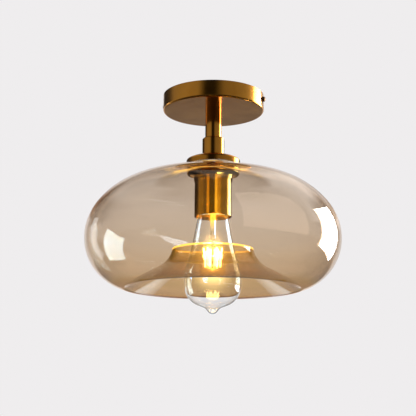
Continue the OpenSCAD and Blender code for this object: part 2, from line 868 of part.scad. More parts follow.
module live_lead() {
    color("#7a4a2a")
        lead(lead_route(
            pole_pitch, lead_ring_r * [cos(60), sin(60)],
            [[swing_x, swing_y, bore_z + dive], [arch_x, arch_y, rod_top_z + arch_rise]],
            [splay_x, splay_y, rod_end_z - splay_drop], [0, lead_end_y, lead_end_z]
        ));
}
module neutral_lead() {
    color("#3b6fb0")
        lead(lead_route(
            -pole_pitch, lead_ring_r * [cos(60), -sin(60)],
            [[swing_x, -swing_y, bore_z + dive], [arch_x, -arch_y, rod_top_z + arch_rise]],
            [splay_x, -splay_y, rod_end_z - splay_drop], [0, -lead_end_y, lead_end_z]
        ));
}
// The earth lead arches over the other two and ends at the saddle's leg
module earth_lead() {
    color("#5f8f3a")
        lead(lead_route(
            0, [-lead_ring_r, 0],
            [[swing_x, 0, bore_z + dive], [splay_x, 0, rod_top_z + 2 * arch_rise]],
            [-2 * arch_x, 0, rod_end_z - splay_drop],
            [lead_r / 3 - saddle_leg_x, 0, rod_end_z - 1.4 * splay_drop]
        ));
}

// Screw cap: brass shell, dark insulator and soldered contact button
button_h = 1.4;
insulator_h = 2.4;
cap_top_z = bulb_top_z - button_h - insulator_h;
cap_shoulder_h = 2.8;
cap_end_z = cap_top_z - cap_h;
cap_wall = 0.4;
button_r = 4.4;
button_rim = 0.4;
cap_eye_r = 8.6;
neck_glass_r = cap_r - cap_wall - seat_gap;
module bulb_cap() {
    color("#c9b26a")
        turned([
            [cap_eye_r, cap_top_z],
            [cap_r - 0.8, cap_top_z - cap_shoulder_h],
            [cap_r, cap_top_z - cap_shoulder_h - 0.8],
            [cap_r, cap_end_z + 1],
            [cap_r + 0.15, cap_end_z],
            [cap_r - cap_wall, cap_end_z],
            [cap_r - cap_wall, cap_top_z - cap_shoulder_h - 1.2],
            [cap_eye_r, cap_top_z - 0.5]
        ], large_fn);
}
module bulb_insulator() {
    color("#22201e")
        turned([
            [0, bulb_top_z - button_h],
            [button_r + 0.4, bulb_top_z - button_h],
            [cap_eye_r + 0.4, cap_top_z + seat_gap],
            [cap_eye_r - seat_gap, cap_top_z + seat_gap],
            [cap_eye_r - seat_gap, cap_top_z - 1],
            [0, cap_top_z - 1]
        ], small_fn);
}
module bulb_contact() {
    color("#b7b7b4")
        turned(concat(
            [[0, bulb_top_z - button_h], [button_r, bulb_top_z - button_h]],
            walk([button_r, bulb_top_z - button_h + button_rim], upright, [[button_h - button_rim, 90]]),
            [[0, bulb_top_z]]
        ), small_fn);
}

// Driver board in the cap: a round board with a capacitor and a chip. Its rim rests on the
// glass neck's end.
board_r = cap_r - cap_wall - seat_gap;
board_t = 1.2;
neck_in_cap = 5;
neck_end_z = cap_end_z + neck_in_cap;
board_z = neck_end_z + seat_gap;
module bulb_driver() {
    color("#3d6b45") {
        translate([0, 0, board_z])
            cylinder(h = board_t, r = board_r, $fn = small_fn);
        translate([4.5, 0, board_z + board_t])
            cylinder(h = 7, r = 3, $fn = small_fn);
        translate([-7.5, -3, board_z + board_t])
            cube([5, 6, 1.8]);
    }
}

// Lamp glass: a straight neck in the cap, a flared throat, long flanks that widen slowly, a
// tight belly and a drawn tip
neck_run = 5.4;
throat_turn = 38;
bulb_throat_r = 4.6;
bulb_ease_r = 23.5;
flank_lean = 10.3;
upper_flank = 26.4;
mid_flank_r = 300;
low_flank_lean = 15.2;
bulb_belly_r = 31.5;
bulb_belly_turn = 26.7;
bulb_base_r = 22.2;
bulb_base_turn = 43.4;
tip_run = 6.5;
tip_fillet_r = 7.2;
tip_fillet_turn = 30.9;
tip_slope_run = 3.6;
// Straight stretch that brings the flanks out to the lamp's diameter
lower_flank_run = bulb_d / 2 - neck_glass_r
    - bulb_throat_r * (1 - cos(throat_turn))
    - bulb_ease_r * (cos(flank_lean) - cos(throat_turn))
    - upper_flank * sin(flank_lean)
    - mid_flank_r * (cos(flank_lean) - cos(low_flank_lean))
    - bulb_belly_r * (1 - cos(low_flank_lean));
tip_angle = 90 - bulb_belly_turn - bulb_base_turn + tip_fillet_turn;
bulb_legs = [
    [neck_run, 0],
    [bulb_throat_r, throat_turn],
    [bulb_ease_r, flank_lean - throat_turn],
    [upper_flank, 0],
    [mid_flank_r, low_flank_lean - flank_lean],
    [lower_flank_run / sin(low_flank_lean), 0],
    [bulb_belly_r, -low_flank_lean - bulb_belly_turn],
    [bulb_base_r, -bulb_base_turn],
    [tip_run, 0],
    [tip_fillet_r, tip_fillet_turn],
    [tip_slope_run, 0]
];
bulb_start = [neck_glass_r, neck_end_z];
tip_r = last(walk(bulb_start, -90, bulb_legs))[0] / sin(tip_angle);
module bulb_glass() {
    legs = concat(bulb_legs, [[tip_r, -tip_angle]]);
    color(clear_glass) turned(wall_outline(bulb_start, -90, legs, bulb_wall));
}

// Glass mount: a flare sealed to the neck, a tube, a pressed bar and a rod with two buttons
flare_seal_r = neck_glass_r - bulb_wall - seat_gap;
mount_top_z = neck_end_z - 2;
mount_tube_r = 3.2;
mount_bore_r = 2.2;
press_drop = 54;
press_z = bulb_top_z - press_drop;
press_h = 5;
hub_drop = 68.3;
upper_hub_z = bulb_top_z - hub_drop;
hub_h = 2.4;
hub_r = 2.4;
mount_rod_r = 1.3;
filament_top_z = upper_hub_z - hub_h;
hub_below = 2;
seal_land = 1;
lower_hub_z = filament_top_z - filament_len - hub_below;
module bulb_mount() {
    color(clear_glass)
        turned(concat(
            [[flare_seal_r, mount_top_z]],
            walk(
                [flare_seal_r, mount_top_z - seal_land], inward,
                [[seal_land, 0], [flare_seal_r - mount_tube_r - seal_land, 90]]
            ),
            [
                [mount_tube_r, press_z],
                [mount_tube_r - 0.5, press_z - press_h],
                [mount_rod_r, press_z - press_h - 1],
                [mount_rod_r, upper_hub_z],
                [hub_r, upper_hub_z - 0.6],
                [hub_r, upper_hub_z - hub_h + 0.6],
                [mount_rod_r, upper_hub_z - hub_h],
                [mount_rod_r, lower_hub_z],
                [hub_r, lower_hub_z - 0.6],
                [hub_r, lower_hub_z - hub_h + 0.6],
                [0, lower_hub_z - hub_h],
                [0, press_z],
                [mount_bore_r, press_z]
            ],
            backwards(walk(
                [flare_seal_r - seal_land, mount_top_z], inward,
                [[flare_seal_r - mount_bore_r - seal_land, 90]]
            ))
        ), small_fn);
}

// Wires: two from the board to the press, and bare spokes from the hubs to each filament
wire_r = 0.35;
spoke_gap = 0.1;
hub_gap = 0.25;
module bulb_wires() {
    color("#c9c2b4") {
        for (side = [-1, 1])
            translate([side * mount_bore_r / 2, 0, press_z + seat_gap])
                cylinder(h = board_z - press_z - 2 * seat_gap, r = wire_r, $fn = 16);
        for (k = [0:filament_count - 1])
            rotate([0, 0, filament_angle(k)]) {
                between(
                    [hub_r + hub_gap, 0, upper_hub_z - hub_h / 2],
                    [filament_top_r, 0, filament_top_z + spoke_gap + wire_r],
                    wire_r, 16
                );
                between(
                    [hub_r + hub_gap, 0, lower_hub_z - hub_h / 2],
                    [filament_low_r, 0, filament_top_z - filament_len - spoke_gap - wire_r],
                    wire_r, 16
                );
            }
    }
}
function filament_angle(k) = 10 + k * 360 / filament_count;
// Filaments: coated sticks that stand round the mount and lean in at the bottom
module bulb_filaments() {
    color("#ffd58a")
        for (k = [0:filament_count - 1])
            rotate([0, 0, filament_angle(k)])
                between(
                    [filament_top_r, 0, filament_top_z],
                    [filament_low_r, 0, filament_top_z - filament_len],
                    filament_d / 2, 20
                );
}

mounting_bracket();
earth_screw();
terminal_block();
terminal_barrels();
clamp_screws();
canopy();
side_screw_left();
side_screw_right();
canopy_washer();
canopy_nut();
threaded_rod();
stem_bush();
stem();
collar();
dome_cap();
upper_gasket();
glass_shade();
lower_gasket();
socket_cup();
cup_washer();
lampholder_saddle();
cup_nut();
lampholder_body();
saddle_screws();
screw_shell();
centre_contact();
terminal_screws();
live_lead();
neutral_lead();
earth_lead();
bulb_cap();
bulb_insulator();
bulb_contact();
bulb_driver();
bulb_glass();
bulb_mount();
bulb_wires();
bulb_filaments();
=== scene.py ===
import math

import bmesh
import bpy
from mathutils import Matrix, Vector


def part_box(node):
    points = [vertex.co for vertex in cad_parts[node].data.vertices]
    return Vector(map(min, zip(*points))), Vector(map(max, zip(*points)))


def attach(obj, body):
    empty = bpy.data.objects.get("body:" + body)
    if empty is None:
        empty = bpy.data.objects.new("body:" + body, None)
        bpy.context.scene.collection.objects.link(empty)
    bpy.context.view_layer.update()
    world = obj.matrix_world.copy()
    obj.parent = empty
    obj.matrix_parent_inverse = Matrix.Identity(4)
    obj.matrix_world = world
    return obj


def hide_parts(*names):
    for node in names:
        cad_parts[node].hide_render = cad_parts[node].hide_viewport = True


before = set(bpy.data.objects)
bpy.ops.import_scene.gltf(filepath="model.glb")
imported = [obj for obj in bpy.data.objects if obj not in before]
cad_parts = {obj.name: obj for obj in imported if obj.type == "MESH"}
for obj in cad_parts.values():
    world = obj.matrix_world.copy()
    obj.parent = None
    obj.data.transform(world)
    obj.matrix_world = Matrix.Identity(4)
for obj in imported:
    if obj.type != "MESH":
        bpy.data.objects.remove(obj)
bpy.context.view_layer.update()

# Ceiling bracket
# A strap of zinc-plated steel, bent up from sheet, that is screwed to the ceiling through its
# slots. The canopy's side screws run into its ears, and a green screw earths it.
mm = 0.001


def finish(name, **sockets):
    material = bpy.data.materials.new(name)
    material.use_nodes = True
    shader = material.node_tree.nodes["Principled BSDF"]
    for socket, value in sockets.items():
        shader.inputs[socket.replace("_", " ")].default_value = value
    return material


def put(material, kind, inputs=(), **settings):
    node = material.node_tree.nodes.new(kind)
    for key, value in settings.items():
        setattr(node, key, value)
    for key, value in dict(inputs).items():
        if isinstance(value, bpy.types.NodeSocket):
            material.node_tree.links.new(value, node.inputs[key])
        else:
            node.inputs[key].default_value = value
    return node


def place_on(material, stretch=(1, 1, 1)):
    spot = put(material, "ShaderNodeTexCoord").outputs["Object"]
    return put(material, "ShaderNodeMapping", {"Vector": spot, "Scale": stretch}).outputs[0]


def grain(material, scale, where=None, detail=3.0, rough=0.55):
    return put(material, "ShaderNodeTexNoise", {
        "Vector": where or place_on(material), "Scale": scale, "Detail": detail, "Roughness": rough,
    }).outputs[0]


def spread(material, value, low, high, start=0.3, end=0.7):
    return put(material, "ShaderNodeMapRange", {
        "Value": value, "From Min": start, "From Max": end, "To Min": low, "To Max": high,
    }).outputs[0]


def between_colours(material, share, first, second):
    # Inputs 6 and 7 and output 2 are the Mix node's sockets for colours
    mix = put(material, "ShaderNodeMix", data_type="RGBA")
    for key, colour in ((6, first), (7, second)):
        if isinstance(colour, bpy.types.NodeSocket):
            material.node_tree.links.new(colour, mix.inputs[key])
        else:
            mix.inputs[key].default_value = (*colour, 1)
    material.node_tree.links.new(share, mix.inputs[0])
    return mix.outputs[2]


def relief(material, height, depth, below=None):
    bump = put(material, "ShaderNodeBump", {"Height": height, "Distance": depth, "Strength": 1.0})
    if below:
        material.node_tree.links.new(below, bump.inputs["Normal"])
    return bump.outputs[0]


def wire_in(material, **sockets):
    shader = material.node_tree.nodes["Principled BSDF"]
    for socket, source in sockets.items():
        material.node_tree.links.new(source, shader.inputs[socket.replace("_", " ")])


def dress(material, *names):
    for name in names:
        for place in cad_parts[name].material_slots:
            place.material = material


zinc = finish("zinc_plated_steel", Metallic=1.0, Specular_IOR_Level=0.5)
bloom = grain(zinc, 95, detail=5)
speckle = grain(zinc, 900, detail=2)
wire_in(
    zinc,
    Base_Color=between_colours(zinc, bloom, (0.47, 0.48, 0.50), (0.62, 0.61, 0.56)),
    Roughness=spread(zinc, bloom, 0.24, 0.42),
    Normal=relief(zinc, speckle, 0.02 * mm),
)
dress(zinc, "mounting_bracket")

green_paint = finish("green_earth_paint", Roughness=0.38, Coat_Weight=0.3)
chips = grain(green_paint, 1400, detail=4)
wire_in(
    green_paint,
    Base_Color=between_colours(
        green_paint, spread(green_paint, chips, 0, 1, 0.62, 0.7), (0.03, 0.2, 0.045), (0.25, 0.3, 0.24)),
    Normal=relief(green_paint, chips, 0.02 * mm),
)
dress(green_paint, "earth_screw")

# Terminal block
# Three poles in a moulded polyamide body under the strap. Each pole is a brass barrel with two
# zinc-plated clamp screws, pushed into the body.
polyamide = finish("block_polyamide", Roughness=0.46, Subsurface_Weight=0.15, Specular_IOR_Level=0.45)
mottle = grain(polyamide, 260, detail=4)
wire_in(
    polyamide,
    Base_Color=between_colours(polyamide, mottle, (0.70, 0.67, 0.60), (0.80, 0.78, 0.71)),
    Roughness=spread(polyamide, mottle, 0.40, 0.55),
    Normal=relief(polyamide, grain(polyamide, 2200), 0.01 * mm),
)
dress(polyamide, "terminal_block")


def plain_metal(name, first, second, smooth, dull):
    metal = finish(name, Metallic=1.0)
    cloud = grain(metal, 170, detail=4)
    wire_in(
        metal,
        Base_Color=between_colours(metal, cloud, first, second),
        Roughness=spread(metal, cloud, smooth, dull),
        Normal=relief(metal, grain(metal, 2600, detail=2), 0.008 * mm),
    )
    return metal


bare_brass = plain_metal("bare_brass", (0.60, 0.40, 0.14), (0.70, 0.50, 0.22), 0.22, 0.36)
dress(bare_brass, "terminal_barrels")
dress(zinc, "clamp_screws")

# Canopy
# A round pan drawn from brass sheet, turned, polished and clear lacquered. It hides the bracket
# and hangs on it by the two side screws.


def height_and_radius(material):
    at = put(material, "ShaderNodeSeparateXYZ", {"Vector": place_on(material)}).outputs
    flat = put(material, "ShaderNodeCombineXYZ", {"X": at[0], "Y": at[1]}).outputs[0]
    return at[2], put(material, "ShaderNodeVectorMath", {0: flat}, operation="LENGTH").outputs["Value"]


def lathe_lines(material, scale):
    height, radius = height_and_radius(material)
    rings = put(material, "ShaderNodeCombineXYZ", {"X": radius, "Y": height}).outputs[0]
    return grain(material, scale, rings, detail=2)


def lacquered_brass(name, tones, smooth, dull):
    brass = finish(name, Metallic=1.0, Coat_Weight=0.15, Coat_Roughness=0.05, Coat_IOR=1.5)
    lines = lathe_lines(brass, 2600)
    haze = grain(brass, 34, detail=5)
    wire_in(
        brass,
        Base_Color=between_colours(brass, spread(brass, haze, 0, 1, 0.35, 0.65), *tones),
        Roughness=spread(brass, haze, smooth, dull),
        Normal=relief(brass, lines, 0.004 * mm, below=relief(brass, haze, 0.02 * mm)),
    )
    return brass


warm_brass = ((0.58, 0.24, 0.026), (0.66, 0.29, 0.036))
canopy_brass = lacquered_brass("canopy_brass", warm_brass, smooth=0.15, dull=0.22)
dress(canopy_brass, "canopy")

# Side screws
# Two turned brass pan heads with an M4 thread. They run through the canopy's side into the
# bracket's ears and are undone by hand or with a driver.
side_screws = {"side_screw_left": -1, "side_screw_right": 1}
side_seat = 57.6 * mm
side_head_r = 3.0 * mm
side_head_h = 3.0 * mm
side_edge_r = 1.8 * mm
side_shank_r = 1.95 * mm
side_shank_len = 8.0 * mm
side_point = 0.4 * mm
side_pitch = 0.7 * mm
side_thread_depth = 0.42 * mm
side_runout = 0.3 * mm
side_rings = 80
side_slot_width = 1.0 * mm
side_slot_depth = 1.0 * mm
# Points this near to each other are joined, and points this near to a turned face lie in it
weld_gap = 0.001 * mm
face_gap = 0.01 * mm


def sine(degrees):
    return math.sin(math.radians(degrees))


def cosine(degrees):
    return math.cos(math.radians(degrees))


def start_line(bm, x, z):
    return bmesh.ops.create_vert(bm, co=(x, 0, z))["vert"][0]


def walk_line(bm, tip, heading, legs, step=4):
    # Draws an outline leg by leg. A length without a turn goes straight on, in one or more parts. A
    # radius with a turn in degrees makes an arc, in pieces of at most step degrees, or a sharp
    # corner where the radius is 0.
    for size, turn, *parts in legs:
        ahead = Vector((cosine(heading), 0, sine(heading)))
        if turn == 0:
            pieces = parts[0] if parts else 1
            for _ in range(pieces):
                tip = bmesh.ops.extrude_vert_indiv(bm, verts=[tip])["verts"][0]
                bmesh.ops.translate(bm, verts=[tip], vec=ahead * size / pieces)
        elif size > 0:
            side = math.copysign(1, turn)
            centre = tip.co + Vector((-ahead.z, 0, ahead.x)) * side * size
            swept = bmesh.ops.spin(
                bm, geom=[tip], cent=centre, axis=(0, -side, 0), angle=math.radians(abs(turn)),
                steps=max(2, math.ceil(abs(turn) / step)), use_merge=False, use_duplicate=False)
            tip = [g for g in swept["geom_last"] if isinstance(g, bmesh.types.BMVert)][0]
        heading += turn
    return tip


def spin_line(bm, sides):
    bmesh.ops.spin(
        bm, geom=bm.verts[:] + bm.edges[:], cent=(0, 0, 0), axis=(0, 0, 1),
        angle=2 * math.pi, steps=sides, use_merge=True, use_duplicate=False)
    bmesh.ops.remove_doubles(bm, verts=bm.verts[:], dist=weld_gap)
    bmesh.ops.recalc_face_normals(bm, faces=bm.faces[:])


def cut_thread(bm, face_r, pitch, depth, low, high):
    # Sinks a right-hand thread into the turned face at face_r
    for v in bm.verts:
        r = math.hypot(v.co.x, v.co.y)
        if abs(r - face_r) > face_gap or not low < v.co.z < high:
            continue
        phase = v.co.z / pitch - math.atan2(v.co.y, v.co.x) / (2 * math.pi)
        wave = 0.5 - 0.5 * math.cos(2 * math.pi * phase)
        ease = min(1.0, (v.co.z - low) / pitch, (high - v.co.z) / pitch)
        grow = 1 - depth * wave * ease / r
        v.co.x *= grow
        v.co.y *= grow


def make_piece(name, bm, material, body, crease=35):
    for edge in bm.edges:
        edge.smooth = edge.calc_face_angle(0) < math.radians(crease)
    for face in bm.faces:
        face.smooth = True
    mesh = bpy.data.meshes.new(name)
    bm.to_mesh(mesh)
    bm.free()
    mesh.materials.append(material)
    piece = bpy.data.objects.new(name, mesh)
    bpy.context.scene.collection.objects.link(piece)
    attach(piece, body)
    return piece


# The screw heads get a much darker brass than the canopy's.
screw_brass = lacquered_brass(
    "screw_brass", ((0.20, 0.095, 0.03), (0.30, 0.14, 0.04)), smooth=0.24, dull=0.36)
slot_bed = side_head_h - side_slot_depth
slot_cuts = [
    ((0, -side_slot_width / 2, 0), (0, 1, 0)), ((0, side_slot_width / 2, 0), (0, 1, 0)),
    ((0, 0, slot_bed), (0, 0, 1))]
for name, side in side_screws.items():
    bm = bmesh.new()
    walk_line(bm, start_line(bm, 0, side_head_h), 0, [
        (side_head_r - side_edge_r, 0), (side_edge_r, -90), (side_head_h - side_edge_r, 0), (0, -90),
        (side_head_r - side_shank_r, 0), (0, 90), (side_shank_len - side_point, 0, side_rings), (0, -45),
        (side_point * math.sqrt(2), 0), (0, -45), (side_shank_r - side_point, 0)], step=9)
    spin_line(bm, sides=32)
    cut_thread(
        bm, side_shank_r, side_pitch, side_thread_depth, side_point - side_shank_len, -side_runout)
    for place, facing in slot_cuts:
        bmesh.ops.bisect_plane(
            bm, geom=bm.verts[:] + bm.edges[:] + bm.faces[:], plane_co=place, plane_no=facing)
    groove = [f for f in bm.faces if abs(f.calc_center_median().y) < side_slot_width / 2
              and f.calc_center_median().z > slot_bed + weld_gap]
    bmesh.ops.delete(bm, geom=groove, context="FACES")
    bmesh.ops.holes_fill(bm, edges=[e for e in bm.edges if e.is_boundary], sides=0)
    bmesh.ops.triangulate(bm, faces=[f for f in bm.faces if len(f.verts) > 4])
    bmesh.ops.recalc_face_normals(bm, faces=bm.faces[:])
    outward = Matrix.Rotation(side * math.pi / 2, 3, "Y")
    bmesh.ops.rotate(bm, verts=bm.verts[:], cent=(0, 0, 0), matrix=outward)
    low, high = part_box(name)
    bmesh.ops.translate(bm, verts=bm.verts[:], vec=(side * side_seat, 0, (low.z + high.z) / 2))
    screw = make_piece("threaded_" + name, bm, screw_brass, name)
    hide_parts(name)

# Threaded rod, washers and nuts
# A hollow zinc-plated M10 rod holds the whole light together. A brass nut hangs it in the
# canopy's floor and a second nut draws up the socket cup, and the leads run down its bore.
rod_low, rod_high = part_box("threaded_rod")
rod_r = 4.95 * mm
rod_bore_r = 3.6 * mm
rod_pitch = 1.0 * mm
rod_thread_depth = 0.55 * mm
rod_trim = 0.01 * mm
rod_rings = 500
rod_len = rod_high.z - rod_low.z
bm = bmesh.new()
walk_line(bm, start_line(bm, rod_bore_r, rod_high.z), 0, [
    (rod_r - rod_bore_r, 0), (0, -90), (rod_len, 0, rod_rings), (0, -90), (rod_r - rod_bore_r, 0),
    (0, -90), (rod_len, 0, 2)])
spin_line(bm, sides=36)
cut_thread(bm, rod_r, rod_pitch, rod_thread_depth, rod_low.z + rod_trim, rod_high.z - rod_trim)
rod = make_piece("rolled_rod", bm, zinc, "fitting")
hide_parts("threaded_rod")
dress(zinc, "canopy_washer", "stem_bush", "cup_washer", "cup_nut")
dress(bare_brass, "canopy_nut")

# Stem, collar and dome cap
# A polished tube covers the rod. The turned collar screws up against it and carries the spun
# dome that covers the neck of the glass. All three are lacquered like the canopy.
stem_brass = lacquered_brass("stem_brass", warm_brass, smooth=0.11, dull=0.17)
dress(stem_brass, "stem", "collar")
# Painted shade: the dome gets a darker copy of the brass, as if it lay in shade.
shaded_dome_brass = lacquered_brass(
    "shaded_dome_brass", ((0.46, 0.18, 0.014), (0.54, 0.22, 0.02)), smooth=0.11, dull=0.17)
dress(shaded_dome_brass, "dome_cap")

# Gaskets
# Two moulded rings of clear silicone. One lies above the neck of the glass and one below it,
# so that the metal never touches it.
silicone = finish(
    "clear_silicone_ring", Base_Color=(0.86, 0.84, 0.80, 1), Transmission_Weight=0.55, IOR=1.41)
cloudy = grain(silicone, 420, detail=4)
wire_in(
    silicone,
    Roughness=spread(silicone, cloudy, 0.28, 0.45),
    Normal=relief(silicone, cloudy, 0.03 * mm),
)
dress(silicone, "upper_gasket", "lower_gasket")

# Glass shade
# A wide bowl of mouth-blown cognac glass, 3 mm thick. Its underside turns in and rises again as
# a bell round the lamp, and the bell's lip is fire-polished. It hangs by its neck between the
# gaskets.
wall = 3 * mm
neck_r = 21 * mm
neck_z = -83 * mm
shade_r = 142.2 * mm
throat_r = 42 * mm
crown_r = 93 * mm
flank_r = 59 * mm
belly_r = 57.3 * mm
fold_r = 6 * mm
flare_r = 36.2 * mm
shoulder_ease_r = 15 * mm
seat_run = 5.75 * mm
# Turns and slopes of the outline, in degrees
shoulder, crown, belly, underside, throat_lean = 15.9, 36, 75, 27, 12
flank = 90 - shoulder - crown
fold = 90 - belly + underside
flare = 90 - underside - throat_lean
crown_run = crown_r * (sine(shoulder + crown) - sine(shoulder))
flank_run = flank_r * (1 - cosine(flank))
shoulder_run = shade_r - flank_run - crown_run - shoulder_ease_r * sine(shoulder) - seat_run - neck_r
fold_x = shade_r - belly_r * (1 - cosine(belly)) - fold_r * (sine(90 - belly) + sine(underside))
flare_run = flare_r * (sine(90 - throat_lean) - sine(underside))
shade_legs = [
    (seat_run, 0), (shoulder_ease_r, -shoulder), (shoulder_run / cosine(shoulder), 0), (crown_r, -crown),
    (flank_r, -flank), (belly_r, -belly), (fold_r, -fold),
    ((fold_x - flare_run - throat_r) / cosine(underside), 0), (flare_r, -flare)]


def shell_outline(bm, start, heading, legs, thickness, step):
    # Outer face, rounded lip and the inner face walked back beside it, as one closed line
    back = [
        (size if turn == 0 else size + math.copysign(thickness, turn), -turn)
        for size, turn, *_ in legs[::-1]]
    tip = walk_line(bm, start, heading, legs + [(thickness / 2, -180)] + back, step)
    bmesh.ops.contextual_create(bm, geom=[tip, start])


def reckon(material, operation, one, other, clamp=False):
    return put(
        material, "ShaderNodeMath", {0: one, 1: other}, operation=operation, use_clamp=clamp).outputs[0]


def times(material, *factors):
    product = factors[0]
    for factor in factors[1:]:
        product = reckon(material, "MULTIPLY", product, factor)
    return product


def plus(material, *terms):
    total = terms[0]
    for term in terms[1:]:
        total = reckon(material, "ADD", total, term, clamp=True)
    return total


def zone(material, *edges):
    # How far a spot is inside a zone. Each edge is a value, where the zone starts and where it is full
    return times(
        material, *(spread(material, value, 0.0, 1.0, start, full) for value, start, full in edges))


def layered(material, ground, *layers):
    for share, colour in layers:
        ground = between_colours(material, share, ground, colour)
    return ground


def painted_inner_glow(material):
    # Painted glow: 1 once a ray has been mirrored four times or more, standing in for light thrown to and
    # fro inside a thick edge
    glossy_limit = 4
    bounces = put(material, "ShaderNodeLightPath").outputs["Glossy Depth"]
    return reckon(material, "GREATER_THAN", bounces, glossy_limit - 0.5)


def send_out(material, source, outlet):
    material.node_tree.links.new(source, material.node_tree.nodes["Material Output"].inputs[outlet])


bm = bmesh.new()
shell_outline(bm, start_line(bm, neck_r, neck_z), 0, shade_legs, wall, step=3)
spin_line(bm, sides=192)
cognac = finish("cognac_glass", Transmission_Weight=1.0, IOR=1.5)
height, radius = height_and_radius(cognac)
edge_on = put(cognac, "ShaderNodeLayerWeight", {"Blend": 0.5}).outputs["Facing"]
breath = grain(cognac, 9, place_on(cognac, (1, 1, 1.8)), detail=1, rough=0.4)
painted_glint_streaks = grain(cognac, 34, place_on(cognac, (1, 1, 0.4)), detail=2)
# Lower down and in the bell the glass is tinted warmer: partly thicker glass, partly painted warm light of
# the lamp.
low_down = zone(cognac, (height, -0.155, -0.205))
bell = times(
    cognac, zone(cognac, (height, -0.168, -0.176), (radius, 0.101, 0.092)),
    spread(cognac, breath, 0.8, 1.2))
# Painted shade: the bell turns dark brown where it is seen edge-on.
painted_dark_bell_edges = times(cognac, bell, zone(cognac, (edge_on, 0.34, 0.95), (radius, 0.084, 0.060)))
# Painted shade and glow: a dark orange line where the fold is seen edge-on, which also glows a little.
painted_fold_line = zone(cognac, (height, -0.213, -0.219), (radius, 0.093, 0.098), (edge_on, 0.50, 0.85))
# Painted reflections: streaky gold glints in the glass round the neck, where it is seen edge-on.
painted_neck_glints = zone(cognac, (height, -0.104, -0.094), (radius, 0.060, 0.044), (edge_on, 0.70, 0.86))
# Painted glow: a yellow glow on the bell's lip, standing in for the lamp's light caught in it.
painted_lip_glow = zone(
    cognac, (height, -0.1803, -0.1790), (height, -0.168, -0.172), (radius, 0.0434, 0.0442),
    (radius, 0.050, 0.046))
# Painted glow: the bell's glass close round the lamp is lit faintly.
painted_lamp_side_glow = zone(cognac, (height, -0.170, -0.174), (radius, 0.090, 0.040))
# Painted glow on the shade: the lip, the fold, the bell's glass near the lamp and streaky glints at the
# neck.
painted_glow = plus(
    cognac, times(cognac, painted_lip_glow, 0.95), times(cognac, painted_fold_line, 0.09), times(cognac, painted_lamp_side_glow, 0.05),
    times(cognac, painted_neck_glints, spread(cognac, painted_glint_streaks, 0.1, 1.0, 0.44, 0.56)))
painted_trapped_glow = painted_inner_glow(cognac)
wire_in(
    cognac,
    Base_Color=layered(
        cognac, (1.0, 1.0, 1.0), (low_down, (0.97, 0.90, 0.78)), (bell, (0.98, 0.86, 0.66)),
        (painted_dark_bell_edges, (0.30, 0.15, 0.05)), (painted_fold_line, (0.35, 0.18, 0.05)), (painted_neck_glints, (0.80, 0.46, 0.12))),
    Roughness=spread(cognac, grain(cognac, 60), 0.0, 0.012),
    Emission_Color=layered(
        cognac, (1.0, 0.74, 0.10), (painted_neck_glints, (1.0, 0.55, 0.10)), (painted_fold_line, (1.0, 0.50, 0.06)),
        (painted_trapped_glow, between_colours(cognac, painted_fold_line, (0.84, 0.74, 0.65), (0.85, 0.42, 0.12)))),
    Emission_Strength=spread(cognac, painted_trapped_glow, times(cognac, painted_glow, 1.6), 0.8, 0, 1),
    Normal=relief(cognac, breath, 0.35 * mm),
)
body_tint = put(cognac, "ShaderNodeVolumeAbsorption", {"Color": (0.664, 0.414, 0.107, 1), "Density": 140})
send_out(cognac, body_tint.outputs[0], "Volume")
shade = make_piece("blown_shade", bm, cognac, "fitting")
shade.visible_shadow = False
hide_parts("glass_shade")

# Socket cup
# A spun brass cup with a rolled flange, drawn up under the neck by the rod. It hides the
# lampholder.
cup_brass = lacquered_brass(
    "cup_brass", ((0.56, 0.28, 0.032), (0.63, 0.33, 0.044)), smooth=0.12, dull=0.19)
dress(cup_brass, "socket_cup")

# Lampholder
# A glazed porcelain body hung from a plated steel saddle by two screws. It holds the rolled
# brass screw shell and the riveted centre contact.
glaze = finish("glazed_porcelain", Coat_Weight=0.6, Coat_Roughness=0.06, Subsurface_Weight=0.05)
pits = grain(glaze, 520, detail=5)
wire_in(
    glaze,
    Base_Color=between_colours(glaze, pits, (0.74, 0.72, 0.66), (0.84, 0.82, 0.77)),
    Roughness=spread(glaze, pits, 0.16, 0.3),
    Normal=relief(glaze, pits, 0.03 * mm),
)
dress(glaze, "lampholder_body")
dress(zinc, "lampholder_saddle", "saddle_screws")
dress(bare_brass, "terminal_screws", "centre_contact", "screw_shell")

# Insulated leads
# Three stranded copper leads in brown, blue and green silicone run from the terminal block over
# the rod's head and down its bore to the lampholder.
lead_r = 1.05 * mm
# Places that the routes pass, in millimetres
block_edge = 10
pole_pitch = 8
bore_z = -7.4
rod_top = -9.5
rod_end = -93.7
holder_top = -99.7


def lead_route(pole, bore, turn_in, end_turn, end):
    x, y = bore
    return [
        (block_edge + 3, pole, bore_z), (block_edge - 0.5, pole, bore_z), *turn_in,
        (x, y, rod_top - 1.5), (x, y, rod_top - 6), (x, y, (rod_top + rod_end) / 2), (x, y, rod_end + 6),
        (x, y, rod_end + 0.5), end_turn, end]


leads = {
    "live_lead": ("brown_lead", (0.105, 0.036, 0.012), lead_route(
        pole_pitch, (0.7, 1.212), [(5.4, 5.2, bore_z + 1.5), (2.2, 2.4, rod_top + 2)],
        (0.8, 3.6, rod_end - 2.4), (0, 8, holder_top + 2.5))),
    "neutral_lead": ("blue_lead", (0.03, 0.10, 0.32), lead_route(
        -pole_pitch, (0.7, -1.212), [(5.4, -5.2, bore_z + 1.5), (2.2, -2.4, rod_top + 2)],
        (0.8, -3.6, rod_end - 2.4), (0, -8, holder_top + 2.5))),
    "earth_lead": ("green_lead", (0.04, 0.22, 0.035), lead_route(
        0, (-1.4, 0), [(5.4, 0, bore_z + 1.5), (0.8, 0, rod_top + 4)],
        (-4.4, 0, rod_end - 2.4), (-9.65, 0, rod_end - 3.36))),
}


